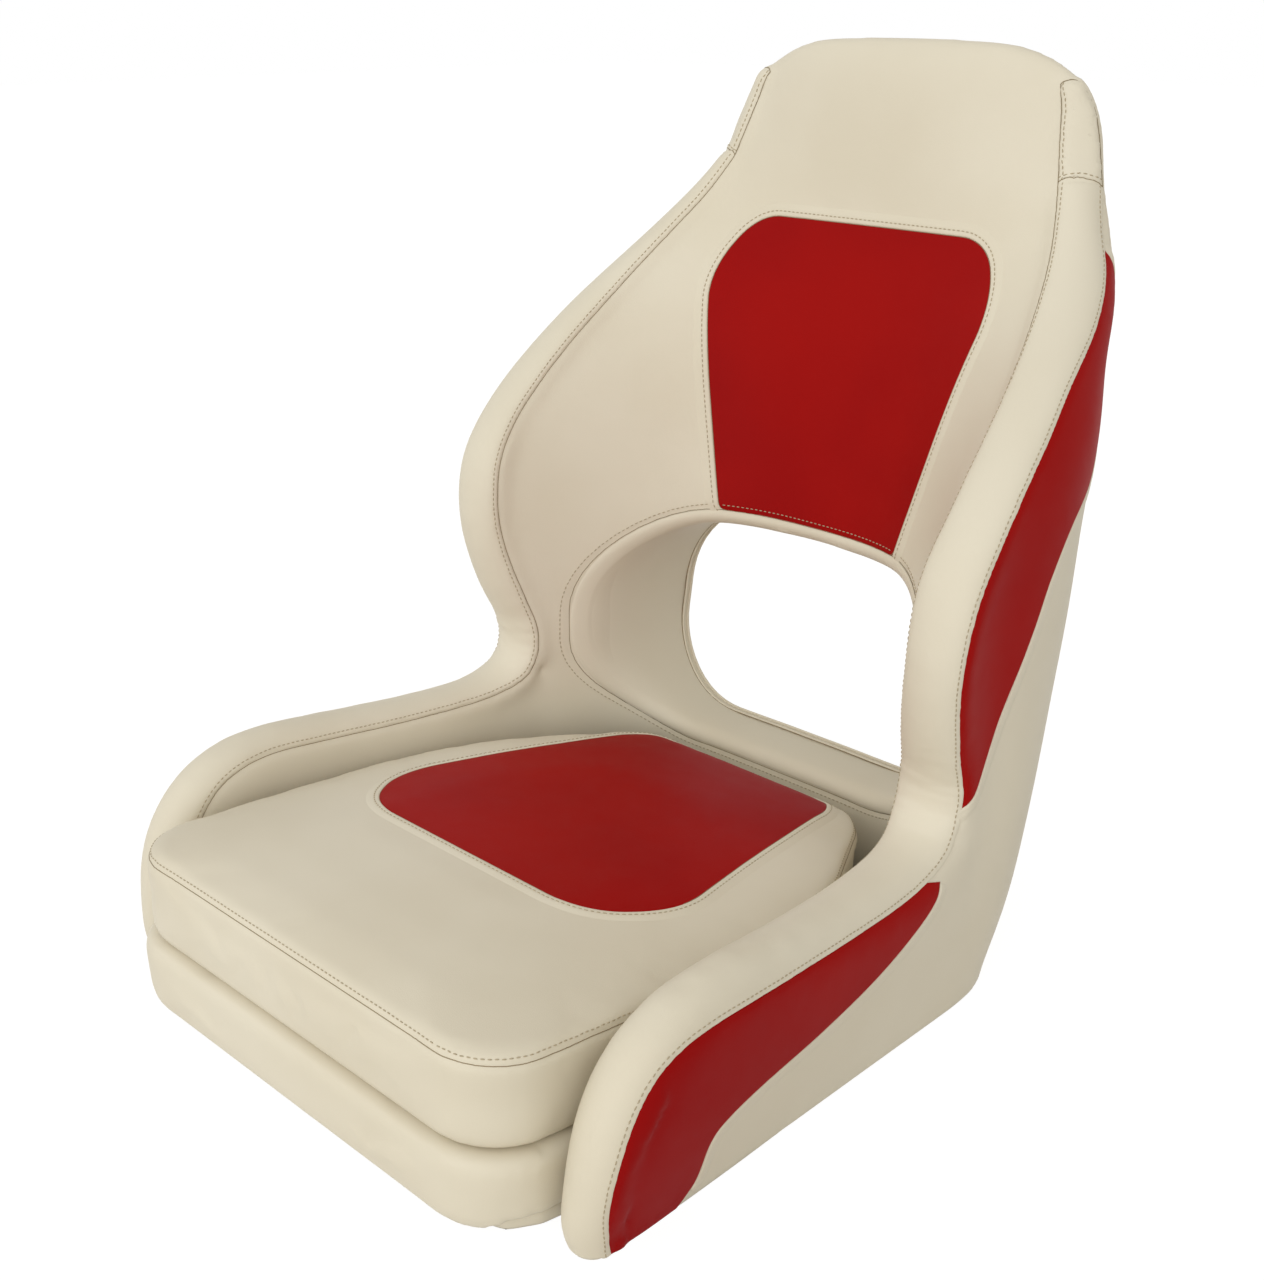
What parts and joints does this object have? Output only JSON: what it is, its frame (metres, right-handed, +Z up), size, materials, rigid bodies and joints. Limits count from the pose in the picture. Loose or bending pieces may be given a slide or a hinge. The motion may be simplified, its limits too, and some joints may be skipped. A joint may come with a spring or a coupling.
{
  "type": "helm bucket seat",
  "caption": "Upholstered bucket seat with wrap-round wings, headrest, open lumbar window and a squab that lifts at the front; bolts to a pedestal.",
  "frame": {"origin": "centre of the four-bolt pattern, on the underside of the shell's floor", "axes": "+Z up, -Y is the front of the seat, X = 0 is its plane of symmetry"},
  "size_m": [0.527, 0.6654, 0.659],
  "materials": {
    "ivory_vinyl": "smooth ivory marine vinyl with a fine grain and a soft satin sheen",
    "red_vinyl": "smooth deep red marine vinyl with a soft satin sheen",
    "moulded_shell": "black moulded polyethylene",
    "marine_ply": "sealed marine plywood",
    "aluminium_plate": "mill finish",
    "zinc_steel": "stainless steel",
    "white_nylon": "plain nylon"
  },
  "bodies": {
    "root": {"seat_shell": "moulded_shell", "inner_lining": "ivory_vinyl", "back_insert": "red_vinyl", "headrest_gusset_left": "ivory_vinyl", "headrest_gusset_right": "ivory_vinyl", "wing_band_left": "ivory_vinyl", "wing_band_right": "ivory_vinyl", "outer_cover": "ivory_vinyl", "upper_side_insert_left": "red_vinyl", "upper_side_insert_right": "red_vinyl", "lower_side_insert_left": "red_vinyl", "lower_side_insert_right": "red_vinyl", "lumbar_liner": "ivory_vinyl", "lumbar_trim_ring": "ivory_vinyl", "lower_cushion": "ivory_vinyl", "spreader_plate": "aluminium_plate", "tee_nuts": "zinc_steel", "plate_screws": "zinc_steel", "hinge_bracket_left": "zinc_steel", "hinge_bracket_right": "zinc_steel", "bracket_screws": "zinc_steel", "pivot_bolts": "zinc_steel", "pivot_nuts": "zinc_steel"},
    "squab": {"squab_cushion": "ivory_vinyl", "squab_insert": "red_vinyl", "squab_board": "marine_ply", "hinge_arm_left": "zinc_steel", "hinge_arm_right": "zinc_steel", "arm_screws": "zinc_steel", "pivot_bushes": "white_nylon"}
  },
  "joints": [
    {"name": "squab_lift", "type": "hinge", "parent": "root", "child": "squab", "pos_m": [0, 0.18, 0.062], "axis": [-1, 0, 0], "range_deg": [0, 45]}
  ]
}
